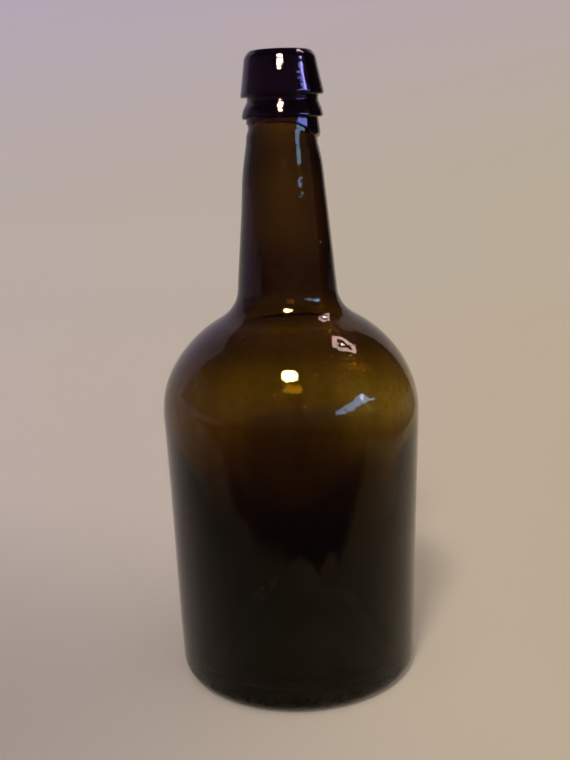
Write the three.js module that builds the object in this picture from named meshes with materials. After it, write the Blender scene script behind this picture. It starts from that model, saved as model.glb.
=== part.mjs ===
// A mouth-blown glass bottle: a squat body that widens a little towards its domed shoulder, a long
// tapering neck, and a finish of hot glass laid on round the neck's end and tooled into two collars.
// Millimetres, +Z up. The origin is the middle of the flat ring that the bottle stands on.
import * as THREE from 'three';

// Driving dimensions, as real sizes in millimetres.
const totalHeight = 248;

// Base: a flat resting ring between the rounded heel outside and the push-up inside.
const heelRadius = 6;
const heelTopRadius = 48.8;
const restRingInner = 37;
const pushUpHeight = 27;
const pushUpThickness = 6;

// Body and shoulder. The shoulder is a dome whose outline is a quarter of an ellipse, carried round
// the axis on a small ring.
const shoulderStart = 108.5;
const shoulderRadius = 51.2;
const shoulderRingRadius = 2.75;
const shoulderRise = 45;
const shoulderEnd = 146.5;

// Neck: an even taper, pinched in a little below the finish, that goes on up inside the collars.
const neckStart = 158;
const neckRootHeight = 160;
const neckRootRadius = 19.55;
const neckTaper = 0.092;
const neckPinch = 0.85;
const neckPinchPower = 6;
const finishStart = 214;
const neckEndHeight = 244;
const neckEndRadius = 12.2;

// Glass thickness, and the bore that takes the cork.
const wall = 4;
const shoulderWall = 3.6;
const floorHeight = 6.5;
const innerHeelRadius = 9;
const innerShoulderEnd = 142;
const innerNeckStart = 155;
const boreRadius = 9.4;

// Upper collar: tall and tapering, with a rounded top corner and a sharp lower edge.
const collarFoot = 231.4;
const collarFootRadius = 15.8;
const collarTopRadius = 13.15;
const collarFootBevel = 0.5;
const lipCornerRadius = 1.7;
const mouthRounding = 1.1;

// Lower ring: low and tapering, standing just under the groove that parts it from the collar.
const ringFoot = 223.4;
const ringFootRadius = 15.55;
const ringFootBevel = 0.5;
const grooveFloor = 229.7;
const grooveRadius = 13.6;

// Overrun: the uneven sleeve of laid-on glass that shows below the lower ring.
const overrunHeight = 5.8;
const overrunTopThickness = 0.4;
const overrunFootThickness = 0.75;
const overrunEdgeThickness = 0.5;
const overrunRounding = 0.5;
const overrunSwell = 0.4;
const overrunWaves = [
  { perTurn: 1, share: 0.16, turned: 0.6 },
  { perTurn: 3, share: 0.1, turned: 1.9 },
];

// Fineness of the faceted solids: facets round the axis, and steps along each stretch of an outline.
const facets = 60;
const steps = { pushUp: 9, heel: 5, innerHeel: 4, dome: 12, innerDome: 9, blend: 5, neck: 6, lip: 4, mouth: 3 };

// Glass colours: the blown body, and the thicker laid-on glass, which looks nearly black.
const blownColor = 0x2e1f0a;
const laidOnColor = 0x170e05;

// A round stretch of an outline: centre, radius, and start and end angle in degrees.
function arc(radius, height, size, fromAngle, toAngle, count) {
  const clockwise = toAngle < fromAngle;
  const start = THREE.MathUtils.degToRad(fromAngle);
  const end = THREE.MathUtils.degToRad(toAngle);
  const curve = new THREE.EllipseCurve(radius, height, size, size, start, end, clockwise);
  return curve.getPoints(count);
}

// Evenly spaced heights put through a function that gives the radius there.
function along(radiusAt, fromHeight, toHeight, count) {
  return Array.from({ length: count + 1 }, (_, step) => {
    const height = THREE.MathUtils.lerp(fromHeight, toHeight, step / count);
    return new THREE.Vector2(radiusAt(height), height);
  });
}

// The inner points of a curve that leaves one outline and runs into another, along their tangents.
function blend(radiusBelow, heightBelow, radiusAbove, heightAbove) {
  const reach = 0.01;
  const slopeBelow = (radiusBelow(heightBelow) - radiusBelow(heightBelow - reach)) / reach;
  const slopeAbove = (radiusAbove(heightAbove + reach) - radiusAbove(heightAbove)) / reach;
  const start = new THREE.Vector2(radiusBelow(heightBelow), heightBelow);
  const end = new THREE.Vector2(radiusAbove(heightAbove), heightAbove);
  const rise = (end.x - start.x + slopeBelow * start.y - slopeAbove * end.y) / (slopeBelow - slopeAbove);
  const corner = new THREE.Vector2(start.x + slopeBelow * (rise - start.y), rise);
  return new THREE.QuadraticBezierCurve(start, corner, end).getPoints(steps.blend).slice(1, -1);
}

// Radius of the shoulder's dome at a height, set in by a thickness at its side and at its top.
function domeRadius(height, sideInset = 0, topInset = 0) {
  const reach = shoulderRadius - shoulderRingRadius - sideInset;
  const climb = Math.min((height - shoulderStart) / (shoulderRise - topInset), 1);
  return shoulderRingRadius + reach * Math.sqrt(1 - climb * climb);
}

// Radius of the neck's outside below the finish.
function taperRadius(height) {
  const climb = height - neckRootHeight;
  const share = climb / (finishStart - neckRootHeight);
  return neckRootRadius - neckTaper * climb - neckPinch * share ** neckPinchPower;
}

// Radius of the neck's outside inside the collars: one straight cone that all of them sit on.
function finishRadius(height) {
  const share = (height - finishStart) / (neckEndHeight - finishStart);
  return THREE.MathUtils.lerp(taperRadius(finishStart), neckEndRadius, share);
}

// Height of the push-up at a radius, as a smooth bell from its rim to its crown.
function bell(radius, rim, foot, crown) {
  return foot + (crown - foot) * (1 + Math.cos(Math.PI * radius / rim)) / 2;
}

// The push-up's outline between the axis and its rim.
function pushUp(rim, foot, crown) {
  return Array.from({ length: steps.pushUp + 1 }, (_, step) => {
    const radius = rim * step / steps.pushUp;
    return new THREE.Vector2(radius, bell(radius, rim, foot, crown));
  });
}

// Turns an outline of radius and height about the upright axis.
function turned(outline) {
  return new THREE.LatheGeometry(outline, facets).rotateX(Math.PI / 2);
}

function glass(name, geometry, color) {
  const material = new THREE.MeshStandardMaterial({ color, roughness: 0.08, metalness: 0 });
  const mesh = new THREE.Mesh(geometry, material);
  mesh.name = name;
  return mesh;
}

// The blown vessel itself: push-up, resting ring, heel, body, shoulder and neck, with the hollow
// inside open through the bore.
function bottleBody() {
  const heelCentre = heelTopRadius - heelRadius;
  const outside = [
    ...pushUp(restRingInner, 0, pushUpHeight),
    ...arc(heelCentre, heelRadius, heelRadius, -90, 0, steps.heel),
    ...along((height) => domeRadius(height), shoulderStart, shoulderEnd, steps.dome),
    ...blend(domeRadius, shoulderEnd, taperRadius, neckStart),
    ...along(taperRadius, neckStart, finishStart, steps.neck),
    new THREE.Vector2(neckEndRadius, neckEndHeight),
  ];
  const innerDome = (height) => domeRadius(height, wall, shoulderWall);
  const innerNeck = (height) => Math.max(taperRadius(height) - wall, boreRadius);
  const innerHeelCentre = heelTopRadius - wall - innerHeelRadius;
  const innerHeelHeight = floorHeight + innerHeelRadius;
  const crown = pushUpHeight + pushUpThickness;
  const inside = [
    ...pushUp(innerHeelCentre, floorHeight, crown),
    ...arc(innerHeelCentre, innerHeelHeight, innerHeelRadius, -90, 0, steps.innerHeel).slice(1),
    ...along(innerDome, shoulderStart, innerShoulderEnd, steps.innerDome),
    ...blend(innerDome, innerShoulderEnd, innerNeck, innerNeckStart),
    ...along(innerNeck, innerNeckStart, finishStart, steps.neck),
    new THREE.Vector2(boreRadius, neckEndHeight),
  ];
  return glass('bottle_body', turned([...outside, ...inside.reverse()]), blownColor);
}

// The lower of the two collars, with the floor of the groove above it.
function lowerRing() {
  const outline = [
    new THREE.Vector2(finishRadius(ringFoot), ringFoot),
    new THREE.Vector2(ringFootRadius - ringFootBevel, ringFoot),
    new THREE.Vector2(ringFootRadius, ringFoot + ringFootBevel),
    new THREE.Vector2(grooveRadius, grooveFloor),
    new THREE.Vector2(grooveRadius, collarFoot),
    new THREE.Vector2(finishRadius(collarFoot), collarFoot),
    new THREE.Vector2(finishRadius(ringFoot), ringFoot),
  ];
  return glass('lower_ring', turned(outline), laidOnColor);
}

// The tall upper collar, which wraps over the neck's end and forms the lip and the mouth.
function upperCollar() {
  const lipCentre = collarTopRadius - lipCornerRadius;
  const outline = [
    new THREE.Vector2(finishRadius(collarFoot), collarFoot),
    new THREE.Vector2(collarFootRadius - collarFootBevel, collarFoot),
    new THREE.Vector2(collarFootRadius, collarFoot + collarFootBevel),
    ...arc(lipCentre, totalHeight - lipCornerRadius, lipCornerRadius, 10, 90, steps.lip),
    ...arc(boreRadius + mouthRounding, totalHeight - mouthRounding, mouthRounding, 90, 180, steps.mouth),
    new THREE.Vector2(boreRadius, neckEndHeight),
    new THREE.Vector2(neckEndRadius, neckEndHeight),
    new THREE.Vector2(finishRadius(collarFoot), collarFoot),
  ];
  return glass('upper_collar', turned(outline), laidOnColor);
}

// The uneven sleeve below the ring: its foot is drawn out further in some places than in others, and
// one side of it is thicker.
function collarOverrun() {
  const foot = ringFoot - overrunHeight;
  const outline = [
    new THREE.Vector2(finishRadius(ringFoot), ringFoot),
    new THREE.Vector2(finishRadius(foot), foot),
    new THREE.Vector2(finishRadius(foot) + overrunEdgeThickness, foot),
    new THREE.Vector2(finishRadius(foot) + overrunFootThickness, foot + overrunRounding),
    new THREE.Vector2(finishRadius(ringFoot) + overrunTopThickness, ringFoot),
    new THREE.Vector2(finishRadius(ringFoot), ringFoot),
  ];
  const geometry = turned(outline);
  const position = geometry.attributes.position;
  for (let index = 0; index < position.count; index++) {
    const x = position.getX(index);
    const y = position.getY(index);
    const angle = Math.atan2(y, x);
    const stretch = overrunWaves.reduce((sum, wave) => {
      return sum + wave.share * Math.sin(wave.perTurn * angle + wave.turned);
    }, 1);
    const drop = (ringFoot - position.getZ(index)) * stretch;
    const thickness = Math.hypot(x, y) - finishRadius(position.getZ(index));
    const radius = finishRadius(ringFoot - drop) + thickness * (1 + overrunSwell * Math.cos(angle));
    position.setXYZ(index, radius * Math.cos(angle), radius * Math.sin(angle), ringFoot - drop);
  }
  return glass('collar_overrun', geometry, laidOnColor);
}

const bottle = new THREE.Group();
bottle.add(bottleBody(), lowerRing(), upperCollar(), collarOverrun());

export default bottle;
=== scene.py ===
"""A dark blown glass bottle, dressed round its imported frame.

Each piece is one surface of turned glass, worked out with numpy: an outline of radius and height is
carried round the upright axis, and then moved a little from place to place, as hand work leaves it.

Outlines are in millimetres. An angle round the bottle is 0 at its right, as the camera sees it, 90 at
its back, 180 at its left and -90 at its front.
"""

import math

import bmesh
import bpy
import numpy as np
from bpy.props import FloatProperty, FloatVectorProperty, PointerProperty
from mathutils import Matrix, Vector


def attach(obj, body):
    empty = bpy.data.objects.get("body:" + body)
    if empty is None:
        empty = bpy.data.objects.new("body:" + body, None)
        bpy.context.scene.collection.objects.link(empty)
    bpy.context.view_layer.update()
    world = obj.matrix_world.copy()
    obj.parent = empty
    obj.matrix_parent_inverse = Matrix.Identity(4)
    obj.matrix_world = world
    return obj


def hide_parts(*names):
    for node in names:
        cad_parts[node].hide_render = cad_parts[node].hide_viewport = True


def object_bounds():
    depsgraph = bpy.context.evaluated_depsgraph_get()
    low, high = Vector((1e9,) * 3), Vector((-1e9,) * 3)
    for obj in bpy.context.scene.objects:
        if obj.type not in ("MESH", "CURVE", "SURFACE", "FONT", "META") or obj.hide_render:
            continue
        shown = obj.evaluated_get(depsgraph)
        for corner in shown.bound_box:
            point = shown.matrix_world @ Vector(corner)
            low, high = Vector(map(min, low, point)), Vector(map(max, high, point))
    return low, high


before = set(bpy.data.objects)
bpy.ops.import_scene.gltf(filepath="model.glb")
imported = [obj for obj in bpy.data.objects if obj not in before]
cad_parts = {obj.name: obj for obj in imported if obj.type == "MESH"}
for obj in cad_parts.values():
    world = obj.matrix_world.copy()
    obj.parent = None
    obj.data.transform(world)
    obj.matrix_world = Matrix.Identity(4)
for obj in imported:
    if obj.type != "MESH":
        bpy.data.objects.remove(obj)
CAD_LOW, CAD_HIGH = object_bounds()

bl_info = {
    "name": "Blown Glass Bottle",
    "version": (1, 0, 0),
    "blender": (4, 5, 0),
    "location": "3D View > Sidebar > Bottle",
    "description": "Makes a dark blown glass bottle with a laid-on collar, round its packed frame",
    "category": "Object",
}

MM = 0.001

# Points round the axis in every turned piece, and the distance between the points of an outline: in the
# vessel's outside and inside, in the two collars, and in the overrun.
AROUND = 192
OUTER_STEP = 1.15
INNER_STEP = 1.6
COLLAR_STEP = 0.3
OVERRUN_STEP = 0.25

# The photograph's height in pixels, and the camera that was fitted to the bottle's outline in it.
IMAGE_HEIGHT = 760
FOCAL_PIXELS = 1011.1
SENSOR = 36.0
CAMERA_PLACE = (-0.00211, -0.3966, 0.2144)
CAMERA_PITCH = math.radians(13.21)
CAMERA_ROLL = math.radians(-1.94)

# Base, outside and inside. The heel's arc ends where its direction is that of the flaring body.
FOOT_INNER = 37.0
HEEL_ROUND = 6.0
HEEL_RADIUS = 48.8
HEEL_END_ANGLE = -1.4
PUSH_UP = 27.0
FLOOR = 6.5
INNER_HEEL_ROUND = 9.0
INNER_PUSH_UP = 33.0

# Shoulder: a dome, and the heights between which it runs over into the neck.
SHOULDER_START = 108.5
SHOULDER_RING = 2.75
SHOULDER_RISE = 45.0
SHOULDER_END = 147.0
SHOULDER_PULL = 0.66
INNER_DOME_END = 137.0
INNER_DOME_PULL = 0.6
TOP_WALL_SHARE = 1.5

# Neck: its taper, the pinch under the finish, its end inside the collar, and the bore.
NECK_START = 158.2
INNER_NECK_START = 163.0
NECK_ROOT = 160.0
NECK_ROOT_RADIUS = 19.55
NECK_TAPER = 0.092
NECK_PINCH = 0.85
FINISH_START = 214.0
NECK_END = 244.0
NECK_END_RADIUS = 12.2
BORE = 9.4
BORE_START = 206.0
NECK_ROOT_BORE = 13.1

# In front, the neck runs on straight past the pinch: its radius at a height, and its taper.
FRONT_HEIGHT = 200.0
FRONT_RADIUS = 15.73
FRONT_TAPER = 0.0957

# Finish: the ring, the groove above it, the collar, its lip, the overrun's foot, and how deep the
# laid-on pieces are sunk into the neck so that no gap shows.
RING_FOOT = 223.4
RING_RADIUS = 15.6
GROOVE = 229.7
GROOVE_RADIUS = 13.6
COLLAR_FOOT = 231.4
COLLAR_RADIUS = 15.85
LIP = 248.0
LIP_RADIUS = 13.35
OVERRUN_FOOT = 217.6
SUNK = 0.2

# Slow swells of the blown glass: how far out they go, how many lobes they have round the bottle, the
# angle in radians where they start, and the rise in which they turn by one radian.
BODY_SWELLS = (
    (0.16, 2, 0.4, 90),
    (0.11, 3, -1.1, -47),
    (0.05, 5, 2.3, 29),
)

# Lumps: how far each stands out, at which height, over which spread of heights, towards which side,
# and how narrow it is there. A narrowness of 0 carries it all round.
OUTSIDE_LUMPS = (
    (0.55, 123, 11, 180, 2),
    (0.2, 121, 13, 0, 2),
    (0.5, 203, 9, 180, 3),
    (0.25, 214, 6, 180, 3),
    (-0.6, 219.8, 1.5, 180, 3),
    (0.24, 206, 7, -4, 4),
    (-0.32, 216.5, 5, -4, 4),
)

# Where the wall is thicker or thinner inside, in the same way.
WALL_LUMPS = (
    (3.2, 151, 9, 0, 0),
    (1.2, 169, 9, 0, 0),
    (-0.6, 121, 11, 0, 0),
    (-1.9, 107, 15, 0, 1),
    (1.7, 101, 15, -90, 14),
    (1.5, 88, 16, 90, 14),
)

# How much thicker than usual the wall is low in the body, and again near the foot.
HEAVY_BODY = 5.0
HEAVY_FOOT = 5.0

# How far the wall chokes the bore under the finish, and how far the inner dome sags into the neck's
# root, at which height.
CHOKE = 1.8
SAG = 0.5
SAG_HEIGHT = 146.0

# Index of refraction of the glass, how much rougher it is in seeds and in scuffs, and the height up to
# which its base is scuffed, in metres.
GLASS_IOR = 1.52
SEED_ROUGHNESS = 0.02
SCUFF_ROUGHNESS = 0.45
WEAR_REACH = 0.0035

# Far lamps: name, degrees to the right of the camera and up, softness in degrees, the share of its
# colour that a white floor shows by it, and its colour.
SUNS = (
    ("key", -16, 50, 10, 0.4, (1.0, 0.98, 0.95)),
    ("low", -4, 27, 8, 0.3, (1.0, 0.97, 0.94)),
    ("fill", 58, 64, 80, 0.43, (1.0, 0.99, 0.97)),
)
SUN_DISTANCE = 3.0

# The near lamp that the glass mirrors, in metres: its place, what it points at, and its width.
LAMP_PLACE = (-0.008, -0.19, 0.355)
LAMP_AIM = (0, -0.03, 0.19)
LAMP_WIDTH = 0.066
LAMP_RADIANCE = 250.0
LAMP_COLOUR = (1.0, 0.94, 0.42)

# The bare ground's size in metres: its level part, the round bend up, and its top.
GROUND_LEVEL = 2.6
GROUND_BEND = 1.4
GROUND_TOP = 4.2

# Where the ground starts to show its own colour and where it shows it all, and the painted soft shade
# on it at the bottle's left, a shadow painted into its colour, in metres.
OWN_COLOUR_START = 0.6
OWN_COLOUR_FULL = 1.3
PAINTED_SHADE_PLACE = (-0.24, -0.09, 0.0)
PAINTED_SHADE_REACH = 0.34

# The dim room in metres: how far the pale ground shows before it, in front, on the right and at most,
# how high it lies over the ground, its wall, and a distance that stands for no edge.
PALE_FRONT = 0.168
PALE_RIGHT = 0.34
PALE_MOST = 2.45
ROOM_FLOOR = 0.0015
ROOM_WALL = 2.5
ROOM_TOP = 3.6
NO_EDGE = 9.0


def arc(radius, height, size, start, end, count):
    """A round stretch: the centre plus the size times the cosine and sine of an angle in degrees."""
    angle = np.radians(np.linspace(start, end, count))
    return np.stack([radius + size * np.cos(angle), height + size * np.sin(angle)], axis=1)


def along(radius_at, low, high, count):
    """A stretch given by a function of the height: (radius(height), height) at even heights."""
    height = np.linspace(low, high, count)
    return np.stack([radius_at(height), height], axis=1)


def blend(radius_below, low, radius_above, high, pull, count):
    """A cubic curve between two outlines, leaving each along its tangent. Both inner handles lie the
    share pull of the way to the point where the two tangents meet, so a larger pull turns sharper."""
    reach = 0.01
    start = np.array([radius_below(low), low])
    end = np.array([radius_above(high), high])
    slope_low = (start[0] - radius_below(low - reach)) / reach
    slope_high = (radius_above(high + reach) - end[0]) / reach
    rise = (end[0] - start[0] + slope_low * low - slope_high * high) / (slope_low - slope_high)
    corner = np.array([start[0] + slope_low * (rise - low), rise])
    first = start + (corner - start) * pull
    second = end + (corner - end) * pull
    t = np.linspace(0, 1, count)[:, None]
    return ((1 - t) ** 3 * start + 3 * t * (1 - t) ** 2 * first
            + 3 * t ** 2 * (1 - t) * second + t ** 3 * end)


def even(outline, step):
    """The same line with points at even distances along it, found by its running length."""
    length = np.r_[0, np.cumsum(np.hypot(*np.diff(outline, axis=0).T))]
    keep = np.r_[True, np.diff(length) > 1e-9]
    marks = np.linspace(0, length[-1], max(int(length[-1] / step), 2) + 1)
    return np.stack([np.interp(marks, length[keep], outline[keep, axis]) for axis in (0, 1)], axis=1)


def rounded(corners, count=7):
    """A closed outline through corners given as radius, height and rounding. Each corner becomes a
    quadratic curve that starts and ends the rounding's length away from it, on its two sides."""
    corners = np.asarray(corners, float)
    points = corners[:, :2]
    before = np.roll(points, 1, axis=0) - points
    after = np.roll(points, -1, axis=0) - points
    before_length = np.hypot(*before.T)
    after_length = np.hypot(*after.T)
    size = np.minimum(corners[:, 2], 0.49 * np.minimum(before_length, after_length))
    start = points + before * (size / before_length)[:, None]
    end = points + after * (size / after_length)[:, None]
    t = np.linspace(0, 1, count)[None, :, None]
    curve = (1 - t) ** 2 * start[:, None] + 2 * t * (1 - t) * points[:, None] + t ** 2 * end[:, None]
    outline = curve.reshape(-1, 2)
    return np.r_[outline, outline[:1]]


def turn(outline):
    """Carries an outline round the axis: grids of radius, angle and height, a row for each point."""
    angle = np.linspace(0, 2 * np.pi, AROUND, endpoint=False)
    radius = np.repeat(outline[:, :1], AROUND, axis=1)
    height = np.repeat(outline[:, 1:], AROUND, axis=1)
    return radius, np.repeat(angle[None, :], len(outline), axis=0), height


def neck_radius(height):
    """The neck's outside: a straight taper, less a pinch that grows with the sixth power of the height."""
    climb = height - NECK_ROOT
    share = np.clip(climb / (FINISH_START - NECK_ROOT), 0, 1)
    return NECK_ROOT_RADIUS - NECK_TAPER * climb - NECK_PINCH * share ** 6


def inner_neck_radius(height):
    """The neck's inside: a straight taper from its root down to the bore."""
    share = np.clip((height - NECK_ROOT) / (BORE_START - NECK_ROOT), None, 1)
    return NECK_ROOT_BORE + (BORE - NECK_ROOT_BORE) * share


def finish_radius(height):
    """The cone that the collars sit on, straight from the pinch to the neck's end."""
    share = (height - FINISH_START) / (NECK_END - FINISH_START)
    return neck_radius(FINISH_START) + (NECK_END_RADIUS - neck_radius(FINISH_START)) * share


def dome(shoulder, side_inset=0.0, top_inset=0.0):
    """The shoulder's outline: a quarter ellipse carried round the axis on a small ring."""
    def radius(height):
        climb = np.clip((height - SHOULDER_START) / (SHOULDER_RISE - top_inset), 0, 0.9999)
        return SHOULDER_RING + (shoulder - SHOULDER_RING - side_inset) * np.sqrt(1 - climb * climb)
    return radius


def push_up(rim, foot, crown, count):
    """The push-up: a bell whose height is a half cosine of the radius, from its crown to its rim."""
    radius = np.linspace(0, rim, count)
    height = foot + (crown - foot) * (1 + np.cos(np.pi * radius / rim)) / 2
    return np.stack([radius, height], axis=1)


def swell(angle, towards, power=2):
    """A lobe on one side of the bottle: the cosine of the angle away from that side, never below 0,
    raised to a power that narrows it."""
    return np.clip(np.cos(angle - math.radians(towards)), 0, 1) ** power


def hump(value, middle, spread):
    """A bell: e to the power of minus the square of the way from its middle, measured in spreads."""
    return np.exp(-((value - middle) / spread) ** 2)


def fade(value, start, end):
    """Rises smoothly from 0 at start to 1 at end: the square of the share of the way, times three less
    twice that share."""
    share = np.clip((value - start) / (end - start), 0, 1)
    return share * share * (3 - 2 * share)


def lumps(rows, angle, height):
    """The sum of a table's lumps, each a bell over the height times a lobe round the bottle."""
    return sum(size * hump(height, middle, spread) * swell(angle, towards, power)
               for size, middle, spread, towards, power in rows)


def blown_unevenness(angle, height):
    """How far blown glass strays outwards, in millimetres: slow swells, which are cosines of the angle
    that turn as they climb, and a few lumps where the photograph shows more. In front, the neck is
    filled out to a straight line past its pinch."""
    swells = sum(size * np.cos(lobes * angle + start + height / rise)
                 for size, lobes, start, rise in BODY_SWELLS)
    swells = swells + 0.07 * np.sin(height / 13 + 1.3 * np.sin(angle + 0.7))
    held = fade(height, 2, 22) * (1 - fade(height, 205, 216)) * (1 - 0.45 * fade(height, 140, 165))
    outline = np.where(height < FINISH_START, neck_radius(height), finish_radius(height))
    straight = FRONT_RADIUS - FRONT_TAPER * (height - FRONT_HEIGHT)
    front = np.clip(straight - outline, 0, None) * fade(height, 196, 203) * (1 - fade(height, 218, 224))
    return swells * held + lumps(OUTSIDE_LUMPS, angle, height) + front * swell(angle, -68, 5)


def wall_unevenness(angle, height):
    """How much thicker the wall is than its usual size: it runs heavier low down and on its left, it
    ripples slowly, and it settles to its usual size up the neck."""
    left = -np.cos(angle)
    heavy = HEAVY_BODY * (1 - fade(height, 52, 108)) * (1 + 0.25 * left) + 0.5 * left * fade(height, 20, 60)
    heavy = heavy + HEAVY_FOOT * (1 - fade(height, 30, 78)) + lumps(WALL_LUMPS, angle, height)
    ripple = (0.3 * np.cos(2 * angle - 0.9 + height / 35)
              + 0.2 * np.sin(height / 17 + 2 * np.cos(angle + 0.5)))
    return (heavy + ripple * (0.5 + 0.5 * fade(height, 30, 60))) * (1 - 0.8 * fade(height, 166, 186))


def pontil_mark(radius, angle):
    """The scar that the rod leaves under the push-up: a low broken ring with an uneven edge."""
    ring = hump(radius, 9.5 + 0.9 * np.sin(3 * angle + 0.6) + 0.4 * np.sin(7 * angle), 1.5)
    return 0.75 * ring * (0.65 + 0.35 * np.sin(2 * angle + 1.1)) + 0.12 * np.sin(radius * 1.7) * ring


def outer_skin(shoulder):
    """The vessel's outside, from the push-up's crown round the heel and up to the neck's end."""
    outer_dome = dome(shoulder)
    outline = np.concatenate([
        push_up(FOOT_INNER, 0, PUSH_UP, 60),
        arc(HEEL_RADIUS - HEEL_ROUND, HEEL_ROUND, HEEL_ROUND, -90, HEEL_END_ANGLE, 24),
        [[shoulder, SHOULDER_START]],
        along(outer_dome, SHOULDER_START, SHOULDER_END, 240)[1:],
        blend(outer_dome, SHOULDER_END, neck_radius, NECK_START, SHOULDER_PULL, 28)[1:],
        along(neck_radius, NECK_START, FINISH_START, 60)[1:],
        [[NECK_END_RADIUS, NECK_END]],
    ])
    radius, angle, height = turn(even(outline, OUTER_STEP))
    # The push-up stays true, and the rest is uneven.
    outside = np.clip(fade(radius, 34, 44) + fade(height, 60, 70), 0, 1)
    radius = radius + blown_unevenness(angle, height) * outside
    under = (1 - fade(radius, 24, 30)) * (height < 40)
    return radius, angle, height - pontil_mark(radius, angle) * under


def inner_skin(shoulder, wall):
    """The vessel's inside, from the neck's end down and over the inner push-up to its crown. It follows
    the outside's unevenness, and the wall's own is added to it."""
    inner_dome = dome(shoulder, wall, wall * TOP_WALL_SHARE)
    rim = HEEL_RADIUS - wall - INNER_HEEL_ROUND
    outline = np.concatenate([
        push_up(rim, FLOOR, INNER_PUSH_UP, 50),
        arc(rim, FLOOR + INNER_HEEL_ROUND, INNER_HEEL_ROUND, -90, 0, 16)[1:],
        [[shoulder - wall, SHOULDER_START]],
        along(inner_dome, SHOULDER_START, INNER_DOME_END, 150)[1:],
        blend(inner_dome, INNER_DOME_END, inner_neck_radius, INNER_NECK_START, INNER_DOME_PULL, 30)[1:],
        along(inner_neck_radius, INNER_NECK_START, FINISH_START, 56)[1:],
        [[BORE, NECK_END]],
    ])
    radius, angle, height = turn(even(outline[::-1], INNER_STEP))
    # Low down, only the wall is uneven, and not the floor.
    near_wall = fade(radius, 0.72 * rim, rim) * fade(height, 6, 16)
    share = np.where(height > 60, 1, near_wall)
    radius = radius + (blown_unevenness(angle, height) - wall_unevenness(angle, height)) * share
    choked = np.maximum(radius, BORE - 0.2) - CHOKE * hump(height, FINISH_START, 9)
    radius = np.where(height > 200, choked, radius)
    return radius, angle, height - SAG * hump(height, SAG_HEIGHT, 9)


def body_surface(sizes):
    """The blown vessel as one closed skin: its outside, and then its inside."""
    shoulder = sizes.shoulder_radius / MM
    wall = sizes.wall / MM
    return tuple(np.concatenate(pair) for pair in zip(outer_skin(shoulder), inner_skin(shoulder, wall)))


def ring_surface():
    """The lower ring: a short tapering bead with a drawn foot, and the floor of the groove above it. It
    leans to the right, and it is dented in front, where it mirrors the lamp as one round spot."""
    outline = rounded([
        (finish_radius(RING_FOOT) - SUNK, RING_FOOT, 0.05),
        (RING_RADIUS - 0.4, RING_FOOT, 0.45),
        (RING_RADIUS, RING_FOOT + 0.75, 0.5),
        (14.98, RING_FOOT + 3.4, 2.6),
        (GROOVE_RADIUS, GROOVE, 0.15),
        (GROOVE_RADIUS, COLLAR_FOOT + 0.15, 0.1),
        (finish_radius(COLLAR_FOOT) - SUNK, COLLAR_FOOT + 0.15, 0.05),
    ])
    radius, angle, height = turn(even(outline, COLLAR_STEP)[:-1])
    bead = fade(radius, 13.3, 14.6)
    groove = fade(radius, 12.9, 13.3) * (1 - fade(radius, GROOVE_RADIUS, 14.6))
    lean = bead * (0.22 * np.cos(angle) + 0.1 * np.cos(3 * angle + 1.0)) + groove * 0.45 * np.cos(angle)
    radius = radius + lean
    low = 1 - fade(height, RING_FOOT + 2.4, GROOVE)
    radius = radius - bead * 0.42 * low * swell(angle, -88, 9)
    height = height + bead * (0.16 * np.cos(angle - 0.2) + 0.08 * np.sin(3 * angle))
    return radius, angle, height


def collar_surface():
    """The upper collar: a tall crowned taper that wraps over the neck's end and makes the mouth. The
    tool that shaped it left level ripples, and it sits a little out of true."""
    outline = rounded([
        (finish_radius(COLLAR_FOOT) - SUNK, COLLAR_FOOT, 0.05),
        (COLLAR_RADIUS - 0.4, COLLAR_FOOT, 0.45),
        (COLLAR_RADIUS, COLLAR_FOOT + 0.8, 0.6),
        (14.55, COLLAR_FOOT + 7.6, 7.0),
        (LIP_RADIUS, LIP - 2.0, 1.9),
        (11.7, LIP, 1.5),
        (10.45, LIP, 0.9),
        (BORE, LIP - 1.0, 0.9),
        (BORE, NECK_END, 0.05),
        (NECK_END_RADIUS - SUNK, NECK_END, 0.05),
    ])
    radius, angle, height = turn(even(outline, COLLAR_STEP)[:-1])
    # Level ripples, calmer near the lip and on the right of the front.
    outer = fade(radius, 12.8, 13.4) * (1 - fade(height, 246.5, 247.8))
    coarse = 0.02 * np.sin(2 * np.pi * (height + 0.25 * np.sin(angle + 0.4)) / 2.3)
    fine = 0.008 * np.sin(2 * np.pi * (height - 0.2 * np.cos(2 * angle)) / 1.05)
    ripple = coarse * (1 - 0.75 * fade(height, 240, 242.5)) + fine
    ripple = ripple * (1 - 0.85 * swell(angle, -35, 3))
    radius = radius + outer * (ripple + 0.1 * np.cos(2 * angle + 0.5))
    # A crooked foot, and a lean to the right that fades towards the lip.
    crooked = 0.32 * np.cos(angle) * (1 - fade(height, 232, 244)) + 0.1 * np.sin(3 * angle + 0.4)
    height = height + crooked * fade(radius, 13.4, 15)
    lean = 0.4 * np.cos(angle) * (1 - fade(height, 231, 246)) * fade(radius, 12.4, 14)
    # In front, the lip is rolled in under its rim, and the foot is pressed flatter.
    rolled = 0.4 * fade(height, 240, 247.2) * fade(radius, 10.6, 13.2) * swell(angle, -94, 10)
    rim = 0.25 * hump(height, 246.2, 1.6) * fade(radius, 12.0, 13.2) * swell(angle, -94, 3)
    flat = 0.7 * np.clip((243 - height) / 11.5, 0, 1) * fade(radius, 12.4, 14) * swell(angle, -70, 3)
    return radius + lean - rolled + rim - flat, angle, height


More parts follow.
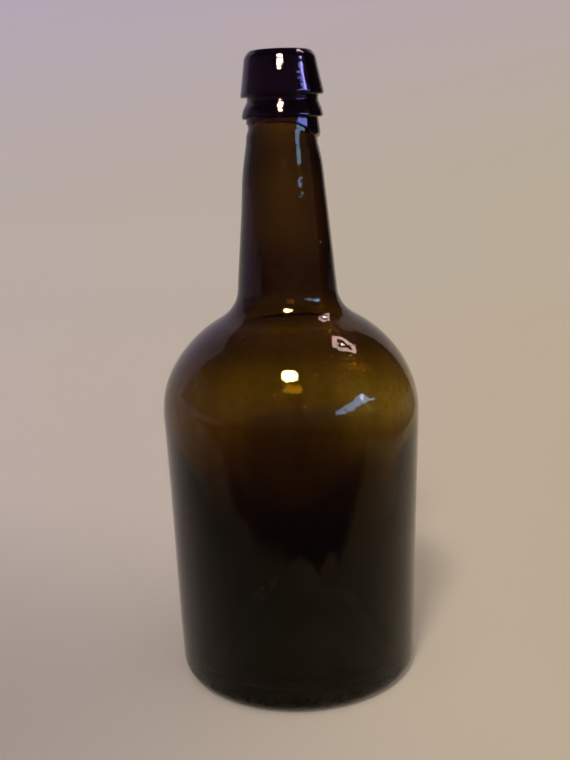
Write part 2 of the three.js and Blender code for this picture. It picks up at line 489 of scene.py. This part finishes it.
def overrun_surface():
    """The sleeve of laid-on glass under the ring. Its drop grows from a short hem on the left to a long
    apron on the right, by a smooth step over the angle, with small lobes along its edge."""
    top = RING_FOOT + 0.3
    outline = rounded([
        (finish_radius(top) - SUNK, top, 0.05),
        (finish_radius(OVERRUN_FOOT) - SUNK, OVERRUN_FOOT, 0.05),
        (finish_radius(OVERRUN_FOOT) + 0.35, OVERRUN_FOOT, 0.3),
        (finish_radius(OVERRUN_FOOT) + 0.85, OVERRUN_FOOT + 1.0, 0.5),
        (finish_radius(RING_FOOT) + 0.55, RING_FOOT, 0.1),
        (finish_radius(RING_FOOT) + 0.55, top, 0.05),
    ])
    radius, angle, height = turn(even(outline, OVERRUN_STEP)[:-1])
    apron = fade(np.cos(angle + math.radians(8)), 0.45, 0.95)
    drop = 1.9 + 5.0 * apron + 0.3 * np.sin(4 * angle + 0.7) + 0.22 * np.sin(9 * angle)
    share = np.clip((RING_FOOT - height) / (RING_FOOT - OVERRUN_FOOT), 0, 1)
    moved = np.where(height > RING_FOOT, height, RING_FOOT - share * drop)
    stand = radius - finish_radius(height)
    thick = np.where(stand > 0, stand * (0.45 + 0.8 * apron), stand)
    return finish_radius(moved) + thick, angle, moved


def close_skin(name, surface, poles):
    """Makes a mesh of a turned grid. Faces run round the angle first and along the outline second, so
    they point outwards. The grid closes on itself, or each of its ends is one point on the axis."""
    radius, angle, height = surface
    rows, columns = radius.shape
    points = np.stack([radius * np.cos(angle), radius * np.sin(angle), height], axis=2) * MM
    index = np.arange(rows * columns).reshape(rows, columns)
    right = np.roll(index, -1, axis=1)
    if poles:
        index, right = index[1:-1] - columns, right[1:-1] - columns
        ends = points[[0, -1]].mean(axis=1)
        vertices = np.concatenate([points[1:-1].reshape(-1, 3), ends])
        last = len(vertices)
        quads = np.stack([index[:-1], right[:-1], right[1:], index[1:]], axis=2).reshape(-1, 4)
        first_fan = np.stack([np.full(columns, last - 2), right[0], index[0]], axis=1)
        last_fan = np.stack([np.full(columns, last - 1), index[-1], right[-1]], axis=1)
        faces = quads.tolist() + first_fan.tolist() + last_fan.tolist()
    else:
        vertices = points.reshape(-1, 3)
        above, above_right = np.roll(index, -1, axis=0), np.roll(right, -1, axis=0)
        faces = np.stack([index, right, above_right, above], axis=2).reshape(-1, 4).tolist()
    return smooth_mesh(name, vertices, faces)


def smooth_mesh(name, vertices, faces):
    """A smooth-shaded mesh of points and faces."""
    mesh = bpy.data.meshes.new(name)
    mesh.from_pydata(vertices.tolist(), [], faces)
    mesh.validate()
    mesh.polygons.foreach_set("use_smooth", np.ones(len(mesh.polygons), bool))
    mesh.update()
    return mesh


def put(name, data):
    """Puts a mesh, a lamp or the camera in the scene."""
    new = bpy.data.objects.new(name, data)
    bpy.context.scene.collection.objects.link(new)
    return new


def place_piece(name, surface, poles, replaced, material):
    """Puts a skin in the scene in place of its node, riding on the bottle. It raises an error if the
    skin is open or inside out."""
    mesh = close_skin(name, surface, poles)
    mesh.materials.append(material)
    piece = put(name, mesh)
    solid = bmesh.new()
    solid.from_mesh(mesh)
    inside_out = solid.calc_volume(signed=True) < 0
    open_edges = sum(1 for edge in solid.edges if len(edge.link_faces) != 2)
    solid.free()
    if inside_out or open_edges:
        raise RuntimeError(f"{name}: inside out {inside_out}, open edges {open_edges}")
    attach(piece, "root")
    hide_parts(replaced)
    return piece


def node(tree, kind, x=0, y=0, **values):
    """Adds a shader node, places it, and sets its properties and named input sockets."""
    new = tree.nodes.new(kind)
    new.location = (x, y)
    for key, value in values.items():
        if hasattr(new, key):
            setattr(new, key, value)
        else:
            new.inputs[key.replace("_", " ")].default_value = value
    return new


def link(source, output, target, socket):
    """Links a node's output to an input of another node in the same tree. A socket is given by its
    name, or by its number where names repeat."""
    source.id_data.links.new(source.outputs[output], target.inputs[socket])


def group(name, inputs, outputs):
    """Starts a node group with number inputs and outputs, or hands back the one already made."""
    if name in bpy.data.node_groups:
        return bpy.data.node_groups[name], None, None
    tree = bpy.data.node_groups.new(name, "ShaderNodeTree")
    for label, default in inputs:
        socket = tree.interface.new_socket(name=label, in_out="INPUT", socket_type="NodeSocketFloat")
        socket.default_value = default
    for label in outputs:
        tree.interface.new_socket(name=label, in_out="OUTPUT", socket_type="NodeSocketFloat")
    return tree, node(tree, "NodeGroupInput", -900), node(tree, "NodeGroupOutput", 900)


def waviness_group():
    """Slow waves of blown glass, drawn out along the height, plus a finer orange-peel."""
    tree, given, result = group("Blown waviness", [("Scale", 28.0), ("Fine", 0.12)], ["Height"])
    if given is None:
        return tree
    place = node(tree, "ShaderNodeTexCoord", -900, 200)
    drawn = node(tree, "ShaderNodeMapping", -700, 200, Scale=(1, 1, 0.45))
    slow = node(tree, "ShaderNodeTexNoise", -500, 200, Detail=1.5, Roughness=0.4)
    fine = node(tree, "ShaderNodeTexNoise", -500, -100, Scale=420.0, Detail=1.0)
    total = node(tree, "ShaderNodeMath", -200, operation="MULTIPLY_ADD")
    link(place, "Object", drawn, "Vector")
    link(drawn, "Vector", slow, "Vector")
    link(place, "Object", fine, "Vector")
    link(given, "Scale", slow, "Scale")
    link(fine, "Fac", total, 0)
    link(given, "Fine", total, 1)
    link(slow, "Fac", total, 2)
    link(total, "Value", result, "Height")
    return tree


def seeds_group():
    """Seeds, which are small bubbles and pits at the surface: round cells that are only here and there."""
    tree, given, result = group("Seeds and pits", [("Scale", 260.0), ("Size", 0.16), ("Share", 0.2)],
                                ["Mask", "Height"])
    if given is None:
        return tree
    place = node(tree, "ShaderNodeTexCoord", -900, 200)
    cells = node(tree, "ShaderNodeTexVoronoi", -650, 200)
    near = node(tree, "ShaderNodeMapRange", -400, 200, interpolation_type="SMOOTHSTEP",
                From_Min=0.0, To_Min=1.0, To_Max=0.0)
    picked = node(tree, "ShaderNodeSeparateColor", -400, -50)
    chosen = node(tree, "ShaderNodeMath", -200, -50, operation="LESS_THAN")
    mask = node(tree, "ShaderNodeMath", 0, 100, operation="MULTIPLY")
    link(place, "Object", cells, "Vector")
    link(given, "Scale", cells, "Scale")
    link(cells, "Distance", near, "Value")
    link(given, "Size", near, "From Max")
    link(cells, "Color", picked, "Color")
    link(picked, "Red", chosen, 0)
    link(given, "Share", chosen, 1)
    link(near, "Result", mask, 0)
    link(chosen, "Value", mask, 1)
    link(mask, "Value", result, "Mask")
    link(mask, "Value", result, "Height")
    return tree


def striae_group():
    """Cords in the glass: streaks drawn out along the height, where the metal is a shade darker."""
    tree, given, result = group("Drawn streaks", [("Scale", 60.0), ("Depth", 0.3)], ["Shade"])
    if given is None:
        return tree
    place = node(tree, "ShaderNodeTexCoord", -900, 200)
    drawn = node(tree, "ShaderNodeMapping", -700, 200, Scale=(1, 1, 0.16), Rotation=(0.06, 0.04, 0))
    streak = node(tree, "ShaderNodeTexNoise", -500, 200, Detail=3.0, Roughness=0.55)
    spread = node(tree, "ShaderNodeMapRange", -250, 200, interpolation_type="SMOOTHSTEP",
                  From_Min=0.36, From_Max=0.66, To_Min=0.0, To_Max=1.0)
    dim = node(tree, "ShaderNodeMath", 0, 200, operation="MULTIPLY")
    left = node(tree, "ShaderNodeMath", 200, 200, operation="SUBTRACT")
    left.inputs[0].default_value = 1.0
    link(place, "Object", drawn, "Vector")
    link(drawn, "Vector", streak, "Vector")
    link(given, "Scale", streak, "Scale")
    link(streak, "Fac", spread, "Value")
    link(spread, "Result", dim, 0)
    link(given, "Depth", dim, 1)
    link(dim, "Value", left, 1)
    link(left, "Value", result, "Shade")
    return tree


def wear_group():
    """Wear near the resting ring: scuffs that thin out upwards, broken up by a fine noise."""
    tree, given, result = group("Base wear", [("Reach", 0.004)], ["Mask"])
    if given is None:
        return tree
    place = node(tree, "ShaderNodeTexCoord", -900, 200)
    split = node(tree, "ShaderNodeSeparateXYZ", -700, 200)
    low = node(tree, "ShaderNodeMapRange", -450, 200, interpolation_type="SMOOTHSTEP",
               From_Min=0.0, To_Min=1.0, To_Max=0.0)
    grain = node(tree, "ShaderNodeTexNoise", -450, -100, Scale=900.0, Detail=3.0, Roughness=0.7)
    broken = node(tree, "ShaderNodeMapRange", -200, -100, From_Min=0.42, From_Max=0.62)
    mask = node(tree, "ShaderNodeMath", 0, 100, operation="MULTIPLY")
    link(place, "Object", split, "Vector")
    link(split, "Z", low, "Value")
    link(given, "Reach", low, "From Max")
    link(place, "Object", grain, "Vector")
    link(grain, "Fac", broken, "Value")
    link(low, "Result", mask, 0)
    link(broken, "Result", mask, 1)
    link(mask, "Value", result, "Mask")
    return tree


def use(tree, made, x, y, **values):
    """Places a node group in a material with its own input values."""
    new = tree.nodes.new("ShaderNodeGroup")
    new.node_tree = made
    new.location = (x, y)
    for key, value in values.items():
        new.inputs[key.replace("_", " ")].default_value = value
    return new


def glass_material(name, tint, density, gleam, smoothness, wave, seed, streak):
    """Dark glass: clear at its surface, coloured by the length of glass that the light goes through. Its
    gleam tints what it mirrors, and wave, seed and streak are settings of the groups."""
    if name in bpy.data.materials:
        return bpy.data.materials[name]
    material = bpy.data.materials.new(name)
    material.use_nodes = True
    tree = material.node_tree
    tree.nodes.clear()
    output = node(tree, "ShaderNodeOutputMaterial", 900)
    shader = node(tree, "ShaderNodeBsdfPrincipled", 500, 0, Transmission_Weight=1.0, IOR=GLASS_IOR,
                  Metallic=0.0, Specular_Tint=(*gleam, 1.0))
    depth = node(tree, "ShaderNodeVolumeAbsorption", 600, -500, Color=(*tint, 1.0), Density=density)
    link(shader, "BSDF", output, "Surface")
    link(depth, "Volume", output, "Volume")
    waves = use(tree, waviness_group(), -900, 100, Scale=wave["scale"], Fine=wave["fine"])
    seeds = use(tree, seeds_group(), -900, -150, Scale=seed["scale"], Size=seed["size"],
                Share=seed["share"])
    streaks = use(tree, striae_group(), -900, 350, Scale=streak["scale"], Depth=streak["depth"])
    worn = use(tree, wear_group(), -900, -400, Reach=WEAR_REACH)
    # Colour: the streaks dim it.
    shaded = node(tree, "ShaderNodeMix", -400, 350, data_type="RGBA", blend_type="MULTIPLY", Factor=1.0,
                  A=(1.0, 0.97, 0.9, 1.0))
    link(streaks, "Shade", shaded, "B")
    link(shaded, "Result", shader, "Base Color")
    # Roughness: a little more in the seeds, and much more where the base is scuffed.
    rough = node(tree, "ShaderNodeMath", -400, -150, operation="MULTIPLY_ADD")
    rough.inputs[1].default_value = SEED_ROUGHNESS
    rough.inputs[2].default_value = smoothness
    scuffed = node(tree, "ShaderNodeMath", -150, -150, operation="MULTIPLY_ADD")
    scuffed.inputs[1].default_value = SCUFF_ROUGHNESS
    link(seeds, "Mask", rough, 0)
    link(worn, "Mask", scuffed, 0)
    link(rough, "Value", scuffed, 2)
    link(scuffed, "Value", shader, "Roughness")
    # Relief: the waves first, and the seeds sunk into them.
    wavy = node(tree, "ShaderNodeBump", 0, 0, Strength=1.0, Distance=wave["depth"])
    pitted = node(tree, "ShaderNodeBump", 250, -50, Strength=1.0, Distance=seed["depth"], invert=True)
    link(waves, "Height", wavy, "Height")
    link(seeds, "Height", pitted, "Height")
    link(wavy, "Normal", pitted, "Normal")
    link(pitted, "Normal", shader, "Normal")
    return material


def blown_glass(look):
    """The vessel's own glass."""
    return glass_material(
        "blown glass", look.tint, look.density, (0.4, 0.37, 0.25), 0.025,
        {"scale": 30.0, "fine": 0.11, "depth": 0.0004},
        {"scale": 330.0, "size": 0.2, "share": 0.42, "depth": 0.00015},
        {"scale": 55.0, "depth": 0.22})


def laid_on_glass(look):
    """The thicker glass of the collars, which looks nearly black."""
    return glass_material(
        "laid-on glass", look.tint, look.density * look.laid_on, (0.58, 0.33, 0.55), 0.03,
        {"scale": 75.0, "fine": 0.09, "depth": 0.00035},
        {"scale": 300.0, "size": 0.18, "share": 0.12, "depth": 0.0003},
        {"scale": 90.0, "depth": 0.3})


def ground_material(colour):
    """The plain pale ground, a little cooler on the left and up the backdrop. Round the bottle it is
    matt and takes the lamps' light and the shadows. Further out it shows its colour by itself, to the
    camera and in the glass alike, so that the backdrop is even on all sides and lights nothing."""
    material = bpy.data.materials.new("pale ground")
    material.use_nodes = True
    material.cycles.emission_sampling = "NONE"
    tree = material.node_tree
    shader = tree.nodes["Principled BSDF"]
    shader.inputs["Roughness"].default_value = 0.95
    shader.inputs["Specular IOR Level"].default_value = 0.1
    place = node(tree, "ShaderNodeTexCoord", -1500, 200)
    split = node(tree, "ShaderNodeSeparateXYZ", -1300, 200)
    from_middle = node(tree, "ShaderNodeVectorMath", -1300, -200, operation="LENGTH")
    # How far a point lies to the right, as a share of its distance and a little more, and how high up
    # it is.
    further = node(tree, "ShaderNodeMath", -1300, 0, operation="ADD")
    further.inputs[1].default_value = 0.25
    turned = node(tree, "ShaderNodeMath", -1200, 300, operation="DIVIDE")
    across = node(tree, "ShaderNodeMapRange", -1100, 400, interpolation_type="SMOOTHSTEP",
                  From_Min=-0.5, From_Max=0.5)
    up = node(tree, "ShaderNodeMapRange", -1100, 150, interpolation_type="SMOOTHSTEP",
              From_Min=-0.3, From_Max=1.2)
    side = node(tree, "ShaderNodeMix", -800, 400, data_type="RGBA",
                A=(colour[0] * 0.97, colour[1] * 0.985, colour[2], 1.0),
                B=(colour[0] * 1.005, colour[1] * 0.995, colour[2] * 0.78, 1.0))
    high = node(tree, "ShaderNodeMix", -550, 400, data_type="RGBA", blend_type="MULTIPLY",
                B=(0.95, 0.93, 1.42, 1.0))
    # A painted soft shade on the ground at the bottle's left: its colour is darkened there in place of a
    # shadow.
    painted_shade_from = node(tree, "ShaderNodeVectorMath", -1300, 700, operation="DISTANCE")
    painted_shade_from.inputs[1].default_value = PAINTED_SHADE_PLACE
    shade = node(tree, "ShaderNodeMapRange", -1100, 700, interpolation_type="SMOOTHSTEP",
                 From_Min=0.0, From_Max=PAINTED_SHADE_REACH, To_Min=0.64, To_Max=1.0)
    dimmed = node(tree, "ShaderNodeMix", -400, 500, data_type="RGBA", blend_type="MULTIPLY", Factor=1.0)
    # Further out, the ground goes over from matt to showing its own colour.
    own = node(tree, "ShaderNodeMapRange", -1100, -200, interpolation_type="SMOOTHSTEP",
               From_Min=OWN_COLOUR_START, From_Max=OWN_COLOUR_FULL)
    matt = node(tree, "ShaderNodeMix", -250, 300, data_type="RGBA", B=(0.02, 0.02, 0.02, 1.0))
    ray = node(tree, "ShaderNodeLightPath", -1300, -500)
    seen = node(tree, "ShaderNodeMath", -1000, -500, operation="ADD")
    seen_too = node(tree, "ShaderNodeMath", -800, -500, operation="ADD", use_clamp=True)
    strength = node(tree, "ShaderNodeMath", -500, -300, operation="MULTIPLY")
    link(place, "Object", split, "Vector")
    link(place, "Object", from_middle, 0)
    link(from_middle, "Value", further, 0)
    link(split, "X", turned, 0)
    link(further, "Value", turned, 1)
    link(turned, "Value", across, "Value")
    link(split, "Z", up, "Value")
    link(across, "Result", side, "Factor")
    link(up, "Result", high, "Factor")
    link(side, "Result", high, "A")
    link(from_middle, "Value", own, "Value")
    link(own, "Result", matt, "Factor")
    link(place, "Object", painted_shade_from, 0)
    link(painted_shade_from, "Value", shade, "Value")
    link(high, "Result", dimmed, "A")
    link(shade, "Result", dimmed, "B")
    link(dimmed, "Result", matt, "A")
    link(matt, "Result", shader, "Base Color")
    link(ray, "Is Camera Ray", seen, 0)
    link(ray, "Is Glossy Ray", seen, 1)
    link(seen, "Value", seen_too, 0)
    link(ray, "Is Transmission Ray", seen_too, 1)
    link(own, "Result", strength, 0)
    link(seen_too, "Value", strength, 1)
    link(high, "Result", shader, "Emission Color")
    link(strength, "Value", shader, "Emission Strength")
    return material


def glow_material(name, colour, strength):
    """A plain glow that is mirrored in the glass."""
    material = bpy.data.materials.new(name)
    material.use_nodes = True
    material.cycles.emission_sampling = "NONE"
    tree = material.node_tree
    tree.nodes.clear()
    glow = node(tree, "ShaderNodeEmission", 0, 0, Color=(*colour, 1.0), Strength=strength)
    output = node(tree, "ShaderNodeOutputMaterial", 300)
    link(glow, "Emission", output, "Surface")
    return material


def room_world(pale_colour):
    """The world: dim round the room, and as pale as the ground for light that comes through the glass."""
    world = bpy.data.worlds.new("room")
    world.use_nodes = True
    tree = world.node_tree
    dim = tree.nodes["Background"]
    dim.inputs["Color"].default_value = (0.8, 0.55, 1.0, 1)
    dim.inputs["Strength"].default_value = 0.12
    pale = node(tree, "ShaderNodeBackground", 0, -200, Color=(*pale_colour, 1.0), Strength=1.0)
    ray = node(tree, "ShaderNodeLightPath", -300, 300)
    either = node(tree, "ShaderNodeMixShader", 300)
    link(ray, "Is Transmission Ray", either, 0)
    link(dim, "Background", either, 1)
    link(pale, "Background", either, 2)
    link(either, "Shader", tree.nodes["World Output"], "Surface")
    return world


def ground_mesh(level, bend, top):
    """The ground all round as one bowl: level out to a radius, then a quarter circle upwards, then
    upright. Its parameters are the angle round the middle and the running length of that line."""
    inner = np.stack([np.linspace(0, level, 40), np.zeros(40)], axis=1)
    curve = arc(level, bend, bend, -90, 0, 30)[1:]
    wall = np.stack([np.full(10, level + bend), np.linspace(bend, top, 11)[1:]], axis=1)
    line = np.concatenate([inner, curve, wall])
    angle = np.linspace(0, 2 * np.pi, 96, endpoint=False)
    x = line[1:, :1] * np.cos(angle)
    y = line[1:, :1] * np.sin(angle)
    z = np.repeat(line[1:, 1:], len(angle), axis=1)
    vertices = np.r_[np.stack([x, y, z], axis=2).reshape(-1, 3), np.zeros((1, 3))]
    index = np.arange(x.size).reshape(x.shape)
    right = np.roll(index, -1, axis=1)
    quads = np.stack([index[:-1], index[1:], right[1:], right[:-1]], axis=2).reshape(-1, 4)
    fan = np.stack([np.full(len(angle), x.size), index[0], right[0]], axis=1)
    return smooth_mesh("ground", vertices, quads.tolist() + fan.tolist())


def add_lamp(name, place, aim, across, radiance, colour):
    """A round lamp of a given radiance that only shows as a highlight: its power is the radiance times
    pi times its area."""
    data = bpy.data.lights.new(name, "AREA")
    data.shape = "DISK"
    data.size = across
    data.energy = radiance * math.pi * across ** 2 * math.pi / 4
    data.color = colour
    lamp = put(name, data)
    lamp.location = place
    lamp.rotation_euler = (Vector(aim) - Vector(place)).to_track_quat("-Z", "Y").to_euler()
    lamp.visible_diffuse = False
    return lamp


def add_sun(name, turned_deg, raised_deg, spread_deg, strength, colour):
    """A far lamp with no falloff: turned right of the camera, raised, and as wide as its softness. Its
    strength is the share of its colour that a white floor shows."""
    data = bpy.data.lights.new(name, "SUN")
    data.angle = math.radians(spread_deg)
    data.energy = strength * math.pi / math.sin(math.radians(raised_deg))
    data.color = colour
    lamp = put(name, data)
    lamp.location = seen_from_bottle(0, turned_deg, raised_deg, SUN_DISTANCE)
    lamp.rotation_euler = (-lamp.location).to_track_quat("-Z", "Y").to_euler()
    lamp.visible_glossy = False
    lamp.visible_transmission = False
    return lamp


def seen_from_bottle(height, turned_deg, raised_deg, distance):
    """A place seen from the bottle's axis at a height: turned right of the camera, raised, and away.
    The angles may be grids, and the place is then a grid of points."""
    turned = np.radians(turned_deg)
    raised = np.radians(raised_deg)
    level = distance * np.cos(raised)
    return np.stack(np.broadcast_arrays(
        level * np.sin(turned), -level * np.cos(turned), height + distance * np.sin(raised)), axis=-1)


def band(left, right, columns, foot, top, top_right, rows):
    """A band of directions from its foot up to a top edge, which may slope from left to right."""
    across = np.linspace(left, right, columns)[None, :]
    edge = np.interp(across, [left, right], [top, top_right])
    return across, foot + (edge - foot) * np.linspace(0, 1, rows)[:, None]


def disc(turned_deg, raised_deg, widened, inner, outer, count, cornered=0.0):
    """A ring or a disc of directions round a middle one, between two radii. It may be widened, and
    three cornered by a cosine of three times the angle round it."""
    around = np.radians(np.linspace(0, 360, count))[None, :]
    radius = np.array([inner, outer])[:, None] * (1 + cornered * np.cos(3 * (around - math.radians(135))))
    return turned_deg + widened * radius * np.cos(around), raised_deg + radius * np.sin(around)


def window_outline():
    """The window as a grid of directions: an uneven sloping gap, from its top edge to its lower one."""
    over = np.linspace(0, 1, 41)
    top = np.interp(over, [0, 0.2, 0.72, 1], [15, 17.5, 23, 13.5])
    foot = np.interp(over, [0, 0.28, 0.5, 0.8, 1], [10.2, 10.4, 14, 13.5, 12.6])
    down = np.linspace(0, 1, 4)[:, None]
    return 39.5 + 40.5 * over + 0 * down, top + (foot - top) * down


def dim_room():
    """The dim room that takes the pale ground's place in the glass: from uneven edges in front and on
    the right, out over the floor and up a wall. Parameters: the angle, and the way outwards."""
    turned = np.radians(np.linspace(-115, 140, 250))
    creases = (0.018 * np.sin(0.9 - 3.2 * turned) + 0.006 * np.sin(17 * turned + 0.5)
               + 0.004 * np.sin(41 * turned))
    front = (PALE_FRONT + creases) / np.maximum(np.cos(turned), 0.05)
    front = np.where(np.cos(turned) > 0.05, front, NO_EDGE)
    right = np.where(np.sin(turned) > 0.3, PALE_RIGHT / np.maximum(np.sin(turned), 0.3), NO_EDGE)
    start = np.minimum(np.minimum(front, right), PALE_MOST)
    share = np.linspace(0, 1, 12)[:, None]
    out = start + (ROOM_WALL - start) * share ** 2
    wall = np.linspace(0, ROOM_TOP, 8)[1:, None]
    radius = np.concatenate([out, np.repeat(ROOM_WALL + 0 * turned[None, :], len(wall), axis=0)])
    height = np.concatenate([ROOM_FLOOR + 0 * out, wall + 0 * turned])
    return np.stack([radius * np.sin(turned), -radius * np.cos(turned), height], axis=2)


def add_sheet(name, points, material, through_glass):
    """A sheet in the room, from a grid of points, that only shows where the glass mirrors it. It may
    also show to light that has been inside the glass."""
    rows, columns = points.shape[:2]
    index = np.arange(rows * columns).reshape(rows, columns)
    quads = np.stack([index[:-1, :-1], index[:-1, 1:], index[1:, 1:], index[1:, :-1]], axis=2)
    mesh = bpy.data.meshes.new(name)
    mesh.from_pydata(points.reshape(-1, 3).tolist(), [], quads.reshape(-1, 4).tolist())
    mesh.materials.append(material)
    mesh.update()
    sheet = put(name, mesh)
    sheet.visible_camera = False
    sheet.visible_diffuse = False
    sheet.visible_shadow = False
    sheet.visible_transmission = through_glass
    return sheet


def add_mirrored_room():
    """What the glass mirrors. A sheet is given by the height that it is seen from, its directions, its
    distance, its colour and strength, and whether light from inside the glass sees it too. A nearer
    sheet hides the ones behind it."""
    add_sheet("dim_room", dim_room(), glow_material("dim room", (1.0, 0.75, 1.0), 0.12), False)
    for name, height, directions, distance, colour, strength, through in (
            ("far wall", 0.2, band(-115, 84, 100, 1, 26, 26, 6), 2.46, (0.9, 0.72, 1.0), 0.28, False),
            ("dark side", 0.2, band(84, 140, 30, -3, 41, 41, 9), 2.42, (1.0, 0.7, 0.9), 0.04, False),
            ("pale strip", 0.16, band(-115, -62, 30, -3, 4.6, 2.0, 2), 2.3, (0.9, 0.6, 1.0), 0.6, False),
            ("window", 0.15, window_outline(), 2.4, (0.24, 0.45, 1.0), 19.0, True),
            ("window core", 0.15, disc(68, 20, 1.6, 0, 2, 25), 2.35, (0.4, 0.52, 1.0), 46.0, True),
            ("lampshade", 0.14, disc(113, 54, 1.5, 5, 8.5, 49, 0.22), 3.0, (1.0, 0.66, 0.72), 15.0, True),
            ("bulb", 0.14, disc(112, 55, 1.5, 0, 1.6, 49), 2.9, (1.0, 0.85, 1.0), 90.0, True)):
        points = seen_from_bottle(height, *directions, distance)
        add_sheet(name.replace(" ", "_"), points, glow_material(name, colour, strength), through)


class BottleSizes(bpy.types.PropertyGroup):
    """Sizes of the bottle"""
    shoulder_radius: FloatProperty(
        name="Shoulder radius", description="Radius of the body at the foot of its dome",
        default=CAD_HIGH[0], unit="LENGTH")
    wall: FloatProperty(
        name="Wall", description="Usual thickness of the blown glass", default=0.004, unit="LENGTH")


class BottleLook(bpy.types.PropertyGroup):
    """Colours and densities of the glass, and the ground's colour"""
    tint: FloatVectorProperty(
        name="Glass tint", description="Colour that is left after light has gone through the glass",
        subtype="COLOR", size=3, min=0, max=1, default=(0.68, 0.585, 0.0))
    density: FloatProperty(
        name="Glass density", description="How strongly each metre of glass takes up light", default=700.0)
    laid_on: FloatProperty(
        name="Laid-on density", description="How many times denser the laid-on glass is", default=12.0)
    ground: FloatVectorProperty(
        name="Ground", description="Colour of the pale floor and backdrop",
        subtype="COLOR", size=3, min=0, max=1, default=(0.46, 0.385, 0.335))


class BOTTLE_OT_body(bpy.types.Operator):
    """Blow the vessel: push-up, heel, body, shoulder and neck, with its hollow"""
    bl_idname = "bottle.body"
    bl_label = "Bottle body"

    def execute(self, context):
        surface = body_surface(context.scene.bottle_sizes)
        glass = blown_glass(context.scene.bottle_look)
        place_piece("blown_bottle", surface, True, "bottle_body", glass)
        return {"FINISHED"}


class BOTTLE_OT_collars(bpy.types.Operator):
    """Lay the ring, the collar and their overrun on round the neck's end"""
    bl_idname = "bottle.collars"
    bl_label = "Collars"

    def execute(self, context):
        glass = laid_on_glass(context.scene.bottle_look)
        for name, surface, replaced in (
                ("laid_on_ring", ring_surface(), "lower_ring"),
                ("laid_on_collar", collar_surface(), "upper_collar"),
                ("laid_on_overrun", overrun_surface(), "collar_overrun")):
            place_piece(name, surface, False, replaced, glass)
        return {"FINISHED"}


class BOTTLE_OT_stage(bpy.types.Operator):
    """Set the camera, the pale ground and the lamps"""
    bl_idname = "bottle.stage"
    bl_label = "Stage"

    def execute(self, context):
        scene = context.scene
        look = scene.bottle_look
        camera = put("camera", bpy.data.cameras.new("camera"))
        camera.data.sensor_width = SENSOR
        camera.data.lens = SENSOR * FOCAL_PIXELS / IMAGE_HEIGHT
        camera.data.clip_start = 0.01
        camera.location = CAMERA_PLACE
        lifted = Matrix.Rotation(math.pi / 2 - CAMERA_PITCH, 3, "X")
        camera.rotation_euler = (lifted @ Matrix.Rotation(CAMERA_ROLL, 3, "Z")).to_euler()
        scene.camera = camera

        ground = put("ground", ground_mesh(GROUND_LEVEL, GROUND_BEND, GROUND_TOP))
        ground.data.materials.append(ground_material(look.ground))
        ground.visible_shadow = False

        for sun in SUNS:
            add_sun(*sun)
        add_lamp("lamp", LAMP_PLACE, LAMP_AIM, LAMP_WIDTH, LAMP_RADIANCE, LAMP_COLOUR)
        add_mirrored_room()
        scene.world = room_world(look.ground)
        scene.view_settings.view_transform = "Standard"
        return {"FINISHED"}


class BOTTLE_PT_panel(bpy.types.Panel):
    """Settings and steps of the bottle, in the sidebar"""
    bl_label = "Bottle"
    bl_idname = "BOTTLE_PT_panel"
    bl_space_type = "VIEW_3D"
    bl_region_type = "UI"
    bl_category = "Bottle"

    def draw(self, context):
        column = self.layout.column()
        for owner, names in ((context.scene.bottle_sizes, ("shoulder_radius", "wall")),
                             (context.scene.bottle_look, ("tint", "density", "laid_on", "ground"))):
            for name in names:
                column.prop(owner, name)
        for operator in ("bottle.stage", "bottle.body", "bottle.collars"):
            column.operator(operator)


CLASSES = (BottleSizes, BottleLook, BOTTLE_OT_body, BOTTLE_OT_collars, BOTTLE_OT_stage, BOTTLE_PT_panel)


def register():
    """Adds the classes, and the settings to the scene."""
    for each in CLASSES:
        bpy.utils.register_class(each)
    bpy.types.Scene.bottle_sizes = PointerProperty(type=BottleSizes)
    bpy.types.Scene.bottle_look = PointerProperty(type=BottleLook)


def unregister():
    """Takes the settings and the classes away again."""
    del bpy.types.Scene.bottle_look
    del bpy.types.Scene.bottle_sizes
    for each in reversed(CLASSES):
        bpy.utils.unregister_class(each)


def main():
    """Makes the stage and the pieces."""
    register()
    bpy.ops.bottle.stage()
    bpy.ops.bottle.body()
    bpy.ops.bottle.collars()


if __name__ == "__main__":
    main()
